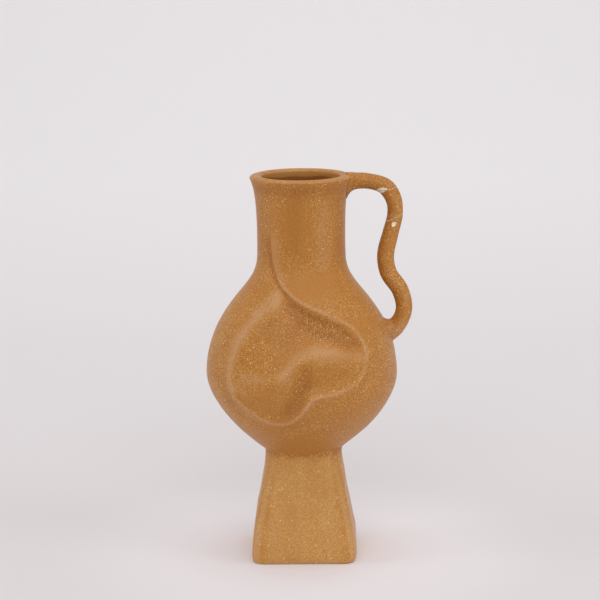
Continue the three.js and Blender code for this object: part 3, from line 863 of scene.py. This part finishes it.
# %% Sizes of the pedestal
# The leans are slopes, which the side keeps over the runs, and the twist is in degrees.
FOOT_BASE = 84.9 * MM
FOOT_DROP = 1.7 * MM
SIDE_LEAN = 0.05
SIDE_RUN = 32 * MM
WAIST_RUN = 24.5 * MM
WAIST_LEAN = 0.02
FOOT_EDGE_UP = 8 * MM
FOOT_EDGE_IN = 2.4 * MM
FOOT_CORNER_BASE = 9 * MM
FOOT_CORNER_TOP = 22 * MM
FOOT_TWIST = -1
SLAB = 6.5 * MM
CORNER_STEPS = 14
SIDE_STEPS = 16
EDGE_ROWS = 13
WALL_ROWS = 61
INSIDE_ROWS = 12
COVE = 0.5 * MM
COVE_RUN = 1.5 * MM
EMBED = 1.8 * MM
foot_waist_z = FOOT_HEIGHT - FOOT_DROP
foot_side = curve((FOOT_BASE / 2, 0), (FOOT_BASE / 2 - SIDE_LEAN * SIDE_RUN, SIDE_RUN),
                  (FOOT_WAIST / 2 + WAIST_LEAN * WAIST_RUN, foot_waist_z - WAIST_RUN),
                  (FOOT_WAIST / 2, foot_waist_z))


def foot_half(z):
    """Half the width of the pedestal at a height, with its rounded base edge."""
    under = np.clip(1 - z / FOOT_EDGE_UP, 0, 1)
    pulled = FOOT_EDGE_IN * (1 - np.sqrt(1 - under ** 2))
    return np.interp(z, [p.y for p in foot_side], [p.x for p in foot_side]) - pulled


def foot_corner(z):
    share = np.clip(z / FOOT_HEIGHT, 0, 1) ** 2
    return FOOT_CORNER_BASE + (FOOT_CORNER_TOP - FOOT_CORNER_BASE) * share


def plan_directions():
    """For each column: where its arc's centre lies, from -1 to 1, and the way it faces."""
    corners = np.array([(1, 1), (-1, 1), (-1, -1), (1, -1)], float)
    centres, facings = [], []
    for quarter, (here, there) in enumerate(zip(corners, np.roll(corners, -1, axis=0))):
        for k in range(CORNER_STEPS + 1):
            turn = math.pi / 2 * (quarter + k / CORNER_STEPS)
            centres.append(here)
            facings.append((math.cos(turn), math.sin(turn)))
        for k in range(1, SIDE_STEPS):
            centres.append(here + (there - here) * k / SIDE_STEPS)
            facings.append(facings[-1])
    return np.array(centres), np.array(facings)


plan_centres, plan_facings = plan_directions()


def foot_plan(z, inset=0.0):
    """Points of one row; z may differ from column to column."""
    corner = foot_corner(z)
    arm = np.broadcast_to(foot_half(z) - corner, len(plan_centres))[:, None]
    reach = np.broadcast_to(corner - inset, len(plan_centres))[:, None]
    flat = arm * plan_centres + reach * plan_facings
    turn = math.radians(FOOT_TWIST)
    turned = flat @ np.array([(math.cos(turn), math.sin(turn)), (-math.sin(turn), math.cos(turn))])
    return np.column_stack([turned, np.broadcast_to(z, len(plan_centres))])


# %% Skin of the pedestal
def contact_heights():
    """Height at which each column meets the underside of the belly."""
    lower = [p for p in outside if p.y < belly_z]
    top = foot_plan(FOOT_HEIGHT)
    away = np.hypot(top[:, 0], top[:, 1])
    return np.interp(away, [p.x for p in lower], [p.y for p in lower])


def pedestal_rows():
    """From the middle of the underside up the outside, over the top and down the inside to the slab."""
    top = contact_heights()
    rows = [np.zeros((len(top), 3))]
    for share in np.linspace(0, 1, EDGE_ROWS):
        rows.append(foot_plan(FOOT_EDGE_UP * share ** 2))
    for share in np.linspace(0, 1, WALL_ROWS)[1:]:
        z = FOOT_EDGE_UP + (top - FOOT_EDGE_UP) * share
        row = foot_plan(z)
        swell = COVE * np.exp(-(top - z) / COVE_RUN)
        row[:, :2] *= (1 + swell / np.hypot(row[:, 0], row[:, 1]))[:, None]
        rows.append(row)
    embedded = rows[-1].copy()
    embedded[:, 2] = top + EMBED
    rows.append(embedded)
    for share in np.linspace(1, 0, INSIDE_ROWS):
        rows.append(foot_plan(SLAB + (top + EMBED - SLAB) * share, inset=WALL))
    rows.append(np.tile((0.0, 0.0, SLAB), (len(top), 1)))
    return np.stack(rows)


# Height over the floor, left and right in millimetres, as for the belly.
UNEVEN_FOOT = [
    (0, -0.1, -0.4), (3, -0.3, 0.1), (7, -0.4, 0.7), (12, -0.2, 0.9), (17, 0, 0.4), (22, 0.2, 0),
    (28, 0.4, 0), (35, 0.5, 0), (42, 0.1, 0), (52, 0.1, 0), (59, 0.3, 0.35), (66, 0, 0.65),
    (75, 0, 0.35), (88, -0.4, 0.3),
]
pedestal_mesh = wrapped_skin(pedestal_rows())
lean_out(pedestal_mesh, UNEVEN_FOOT, level=0.0, full_from=25 * MM)
pedestal = finish_mesh(pedestal_mesh, "pedestal")

# %% [markdown]
# The pedestal is a little paler than the belly, partly as thinner glaze and partly as painted reflection
# of the bright floor. Its upright edges and the base are paler still, the edges as painted sheen; the
# faces beside the edges are darker as painted shade, as is the place right under the belly, and a few
# faint streaks of painted highlight run down the front.

# %% Glaze, painted sheen and painted shade on the pedestal
PEDESTAL_PALE_AND_SHEEN = 0.53
PEDESTAL_CALM = -0.2
# Middle, width and amount: painted sheen on the upright edges, painted shade on the faces beside them,
# and paler round the base.
UPRIGHT_EDGE_SHEEN = (0, 4.2 * MM, 0.5)
BESIDE_EDGE_SHADE = (7.5 * MM, 2.2 * MM, -0.25)
BASE_EDGE = (0, 2.5 * MM, 0.25)
# The sheen on the upright edges grows fainter towards the belly by this share, and painted shade lies
# right under the belly.
EDGE_FADE_UP = 0.3
SHADE_UNDER_BELLY = 0.9
SHADE_UNDER_BELLY_RUN = 2.2 * MM
# The streaks of painted highlight, in millimetres across.
HIGHLIGHT_STREAKS = ((-24, 3.5, 0.10), (-2.4, 4.5, 0.08), (20.8, 4.0, 0.10))


def pedestal_edges():
    x, y, z = places(pedestal).T
    inset = foot_half(np.clip(z, 0, None)) - np.minimum(abs(x), abs(y))
    values = PEDESTAL_PALE_AND_SHEEN + band(inset, *UPRIGHT_EDGE_SHEEN) * (1 - EDGE_FADE_UP * z / FOOT_HEIGHT)
    values += band(inset, *BESIDE_EDGE_SHADE) + band(z, *BASE_EDGE)
    values -= SHADE_UNDER_BELLY * np.exp(-np.clip(FOOT_HEIGHT - z, 0, None) / SHADE_UNDER_BELLY_RUN)
    for streak in HIGHLIGHT_STREAKS:
        values += band(x / MM, *streak)
    return values


mark(pedestal, "edge", pedestal_edges())
mark(pedestal, "calm", np.full(len(pedestal.data.vertices), PEDESTAL_CALM))
pedestal.data.materials.append(glaze)
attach(pedestal, "root")
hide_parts("base_slab", "pedestal_wall")

# %% [markdown]
# The handle was rolled out as one long coil and bent into an S by hand. A curve object with a round
# bevel would give the tube, but not the thicker lower half, the squarer section at the lip, the
# breaks and the chips, so the coil is a skin of rings along the same centre line.

# %% Line of the handle
# In millimetres: its start over the widest place, its end under the top, its seat inside the wall,
# its sunk end from the seat, and how far out a share of 1 is.
HANDLE_FOOT_RISE = 26.5
HANDLE_TOP_SINK = 5.9
HANDLE_SEAT = 3
SUNK_END = (-1.2, -1.6)
HANDLE_REACH = 35
# Thickness along the line: the share of the way from the belly to the lip, and the radius there.
COIL_RADII = [
    (0, 6.1), (0.06, 6.0), (0.12, 6.5), (0.3, 6.85), (0.5, 6.8), (0.6, 6.35), (0.7, 6.2),
    (0.75, 6.6), (0.79, 6.8), (0.83, 6.4), (0.88, 6.2), (0.93, 6.35), (1, 6.2),
]
# The coil is a little flatter from front to back than across.
COIL_DEPTH = 0.97
# Shares of the way up and of the reach, between the seat and the lip.
HANDLE_STATIONS = [
    (0.1, 0.18), (0.195, 0.4), (0.31, 0.44), (0.42, 0.31), (0.53, 0.375), (0.675, 0.665),
    (0.79, 0.9), (0.885, 0.98), (0.965, 0.88), (1.0, 0.52),
]
RING_STEP = 0.6
RING_SIDES = 48

wall_out = [p.x / MM for p in outside]
wall_up = [p.y / MM for p in outside]


def handle_line():
    """Centre line in millimetres, as rows of across and up, evenly spaced from the belly to the lip."""
    belly, neck = belly_radius / MM, NECK_RADIUS / MM
    low = belly_z / MM + HANDLE_FOOT_RISE
    high = top_z / MM - HANDLE_TOP_SINK
    seat = np.interp(low, wall_up, wall_out) - HANDLE_SEAT
    points = [(seat + SUNK_END[0], low + SUNK_END[1], 0), (seat, low, 0)]
    for up, out in HANDLE_STATIONS:
        points.append((belly + (neck - belly) * up + out * HANDLE_REACH, low + (high - low) * up, 0))
    points.append(((lip_radius + MOUTH_RADIUS) / 2 / MM, high, 0))
    return evenly(smooth_line(points, 24), RING_STEP)[:, :2]


coil_line = handle_line()
coil_along = np.gradient(coil_line, axis=0)
coil_along /= np.hypot(coil_along[:, 0], coil_along[:, 1])[:, None]
coil_share = np.linspace(0, 1, len(coil_line))
coil_radius = np.interp(coil_share, *np.array(COIL_RADII).T)
print("coil: %d rings, %.0f mm long" % (len(coil_line), RING_STEP * (len(coil_line) - 1)))


# %% [markdown]
# At both ends the clay was smeared onto the wall with a wet finger. So the coil spreads where it
# meets the vessel, mostly on the side that faces the finger hole, and a little all round.

# %% Skin of the coil
# The section is round, and turns squarer towards the lip: share of the way, run and amount.
SQUARE_END = (0.9, 0.08, 0.7)
# How far the root spreads at the wall, and the distance over which that falls to a third.
ROOT_INSIDE = {"spread": 8.5, "length": 3.2}
ROOT_UNDER_LIP = {"spread": 7.0, "length": 2.2}
ROOT_AROUND = 0.12
ROOT_ROUNDS = 6
# The lower end starts thinner by this share, and is full after the run.
SUNK_RUN = 12
SUNK_SHRINK = 0.4
# The upper end stops inside the lip, this far from the axis.
ARM_START = 34.6


def off_the_wall(x, y, z):
    """How far a point, in millimetres, stands off the outside of the vessel."""
    return np.clip(np.hypot(x, y) - np.interp(z, wall_up, wall_out), 0, None)


def spread_root(place_at, reach, towards, spread, length):
    """Lets the ring reach farther the nearer it comes to the wall, mostly towards one side."""
    grown = reach
    for _ in range(ROOT_ROUNDS):
        grown = reach + spread * np.exp(-off_the_wall(*place_at(grown).T) / length) * towards
    return grown


def coil_rows(extra=0.0):
    """Rings of points round the line of the handle, a little wider where extra is given."""
    outward = np.column_stack([coil_along[:, 1], -coil_along[:, 0]])
    turn = 2 * math.pi * np.arange(RING_SIDES) / RING_SIDES
    cos, sin = np.cos(turn), np.sin(turn)
    inner = np.clip(-cos, 0, 1) ** 1.5 + ROOT_AROUND
    rows = []
    for i, (centre, out, radius, share) in enumerate(zip(coil_line, outward, coil_radius, coil_share)):
        upper_half = share > 0.5
        if upper_half and centre[0] < ARM_START:
            break
        sunk = rise(i * RING_STEP, SUNK_RUN, -SUNK_RUN, SUNK_SHRINK)
        power = 2 + rise(share, *SQUARE_END)
        full = (abs(cos) ** power + abs(sin) ** power) ** (-1 / power)

        def place_at(reach):
            return np.column_stack([centre[0] + reach * cos * out[0], reach * sin * COIL_DEPTH,
                                    centre[1] + reach * cos * out[1]])

        root = ROOT_UNDER_LIP if upper_half else ROOT_INSIDE
        reach = (radius + extra) * full * (1 - sunk)
        rows.append(place_at(spread_root(place_at, reach, inner * (1 - 2 * sunk), **root)))
    ends = [np.tile(rows[i].mean(axis=0), (RING_SIDES, 1)) for i in (0, -1)]
    return np.stack([ends[0]] + rows + [ends[1]]) * MM


# %% [markdown]
# The handle broke twice in its upper part and was glued again. So the coil is cut across at both
# breaks, each slice between two cuts is a film of adhesive that stands a hair proud, and a chip of
# glaze is missing beside each break.

# %% Breaks in the handle
# Millimetres of adhesive, and for each break its depth under the top and its tilt in degrees.
MEND = 0.6
MEND_PROUD = 0.04
BREAKS = {"upper": {"under": 12.3, "tilt": 13}, "lower": {"under": 35, "tilt": 25}}


def break_plane(under, tilt):
    """A place on the line of the handle, and the direction square to the break there."""
    z = top_z / MM - under
    i = np.flatnonzero(coil_line[:, 1] < z)[-1]
    share = (z - coil_line[i, 1]) / (coil_line[i + 1, 1] - coil_line[i, 1])
    middle = coil_line[i] + share * (coil_line[i + 1] - coil_line[i])
    turn = math.radians(tilt)
    return Vector((middle[0], 0, middle[1])) * MM, Vector((-math.sin(turn), 0, math.cos(turn)))


def keep_beyond(bm, point, direction, shift):
    """Cuts off all that lies behind the plane and closes the cut."""
    cut = point + direction * shift * MM
    bmesh.ops.bisect_plane(bm, geom=bm.verts[:] + bm.edges[:] + bm.faces[:], dist=1e-7,
                           plane_co=cut, plane_no=direction, clear_inner=True)
    bmesh.ops.holes_fill(bm, edges=[e for e in bm.edges if e.is_boundary])


def coil_piece(name, above=None, below=None, extra=0.0, gap=MEND / 2):
    bm = wrapped_skin(coil_rows(extra))
    if above:
        keep_beyond(bm, *above, gap)
    if below:
        keep_beyond(bm, below[0], -below[1], gap)
    return finish_mesh(bm, name)


upper_break = break_plane(**BREAKS["upper"])
lower_break = break_plane(**BREAKS["lower"])
upper_arm = coil_piece("handle_arm", above=upper_break)
fragment = coil_piece("handle_fragment", above=lower_break, below=upper_break)
lower_sweep = coil_piece("handle_sweep", below=lower_break)
upper_film = coil_piece("adhesive_upper", upper_break, upper_break, MEND_PROUD, -MEND / 2)
lower_film = coil_piece("adhesive_lower", lower_break, lower_break, MEND_PROUD, -MEND / 2)

# %% Chips beside the breaks
# Places and half sizes in millimetres; each leans by its angle from level, on the front of the coil.
CHIPS = {
    "upper": {"at": (63.4, -5.0, 296.8), "long": 4.1, "wide": 2.3, "lean": 27, "deep": 0.45},
    "upper tail": {"at": (67.0, -5.0, 298.2), "long": 1.6, "wide": 1.0, "lean": 10, "deep": 0.3},
    "lower": {"at": (73.6, -6.0, 269.9), "long": 2.2, "wide": 1.7, "lean": 75, "deep": 0.7},
    "lower spur": {"at": (75.0, -6.0, 270.6), "long": 1.3, "wide": 1.0, "lean": 40, "deep": 0.4},
}
# Where a chip ends and the run of its edge, as shares of its size. Nothing behind is chipped.
CHIP_RIM = (1.25, -0.5)
CHIP_FRONT = -1


def off_the_line(co):
    """For places in millimetres: the nearest point of the coil's line, and the way from it."""
    nearest = np.argmin(((co[:, None, ::2] - coil_line[None]) ** 2).sum(axis=2), axis=1)
    away = co.copy()
    away[:, ::2] -= coil_line[nearest]
    return nearest, away


def chip_piece(piece):
    """Scoops out the chips and marks the bare clay in them."""
    co = places(piece) / MM
    outwards = off_the_line(co)[1]
    outwards /= np.linalg.norm(outwards, axis=1)[:, None]
    bare = np.zeros(len(co))
    for chip in CHIPS.values():
        turn = math.radians(chip["lean"])
        cos, sin = math.cos(turn), math.sin(turn)
        away = co - np.array(chip["at"])
        along = away[:, 0] * cos + away[:, 2] * sin
        beside = away[:, 2] * cos - away[:, 0] * sin
        reach = np.sqrt((along / chip["long"]) ** 2 + (beside / chip["wide"]) ** 2)
        inside_chip = rise(reach, *CHIP_RIM) * (co[:, 1] < CHIP_FRONT)
        co -= outwards * (chip["deep"] * inside_chip)[:, None]
        bare = np.maximum(bare, inside_chip)
    piece.data.vertices.foreach_set("co", (co * MM).ravel())
    piece.data.update()
    mark(piece, "bare", bare)


# %% [markdown]
# On the coil the colour is paler low down and darker higher up and along the arm. A painted highlight
# runs along a line near its outer side and where the arm meets the lip, painted shade lies on the side
# of the finger hole and in the seam with the lip, and at the breaks the glaze is thin.

# %% Glaze, painted highlight and painted shade on the handle
# Heights in millimetres over the widest place of the belly: start, run and amount.
LOW_PALE = (46, -16, 0.6)
HIGH_DARK = (46, 10, -0.12)
# Across the coil, from -1 on its inner edge to 1 on its outer one: the painted highlight's middle, width
# and amount, the painted shade's start, run and amount, and that shade's start and run upwards.
OUTER_HIGHLIGHT = (0.3, 0.28, 0.3)
INNER_SHADE = (-0.2, -0.6, -0.4)
INNER_SHADE_UP = (34, 10)
BREAK_THIN = 0.3
BREAK_RUN = 1.2
# Darker along the arm, from a depth under the top; painted highlight and painted shade at the seam with
# the lip, by its distance from the axis.
ARM_DOWN = 16 * MM
ARM_DARK = 0.3
SEAM_HIGHLIGHT = (39.7, 1.0, 0.5)
SEAM_SHADE = (38.4, -1.5, -0.9)


def side_of_coil(co):
    """Where each place lies across the coil, from -1 on its inner edge to 1 on its outer one."""
    nearest, away = off_the_line(co / MM)
    along = coil_along[nearest]
    return (away[:, 0] * along[:, 1] - away[:, 2] * along[:, 0]) / coil_radius[nearest]


def coil_edges(piece):
    co = places(piece)
    up = (co[:, 2] - belly_z) / MM
    side = side_of_coil(co)
    values = rise(up, *LOW_PALE) + rise(up, *HIGH_DARK)
    values += band(side, *OUTER_HIGHLIGHT) + rise(side, *INNER_SHADE) * rise(up, *INNER_SHADE_UP)
    for point, direction in (upper_break, lower_break):
        away = abs((co - np.array(point)) @ np.array(direction)) / MM
        values += BREAK_THIN * np.exp(-away / BREAK_RUN)
    across = co[:, 0] / MM
    on_arm = co[:, 2] > top_z - ARM_DOWN
    return values + on_arm * (band(across, *SEAM_HIGHLIGHT) + rise(across, *SEAM_SHADE) - ARM_DARK)


for piece, node, slot in (
        (upper_arm, "handle_upper_arm", "ochre_glaze"),
        (fragment, "handle_middle_fragment", "ochre_glaze"),
        (lower_sweep, "handle_lower_sweep", "ochre_glaze"),
        (upper_film, "upper_mend", "mend_filler"),
        (lower_film, "lower_mend", "mend_filler")):
    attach(piece, "root")
    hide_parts(node)
    chip_piece(piece)
    if slot == "ochre_glaze":
        mark(piece, "edge", coil_edges(piece))
        piece.data.materials.append(glaze)

# %% [markdown]
# The adhesive dried pale and slightly yellow, with dust in it. It shows only where it was not wiped
# off, so along the ring it changes over to the colour of the glaze.

# %% Adhesive
ADHESIVE = (0.80, 0.66, 0.45, 1)
DUST_SCALE = 700


def adhesive_material():
    made, tree, where = new_material("dried_adhesive")
    dust = noise(tree, where, DUST_SCALE, 2)
    colour = mix(tree, ramp(tree, dust, 0.42, 0.56), ADHESIVE, OCHRE_THIN_AND_HIGHLIGHT)
    end_with_surface(tree, {"Base Color": colour, "Roughness": 0.6})
    return made


adhesive = adhesive_material()
for piece in (upper_film, lower_film):
    piece.data.materials.append(adhesive)
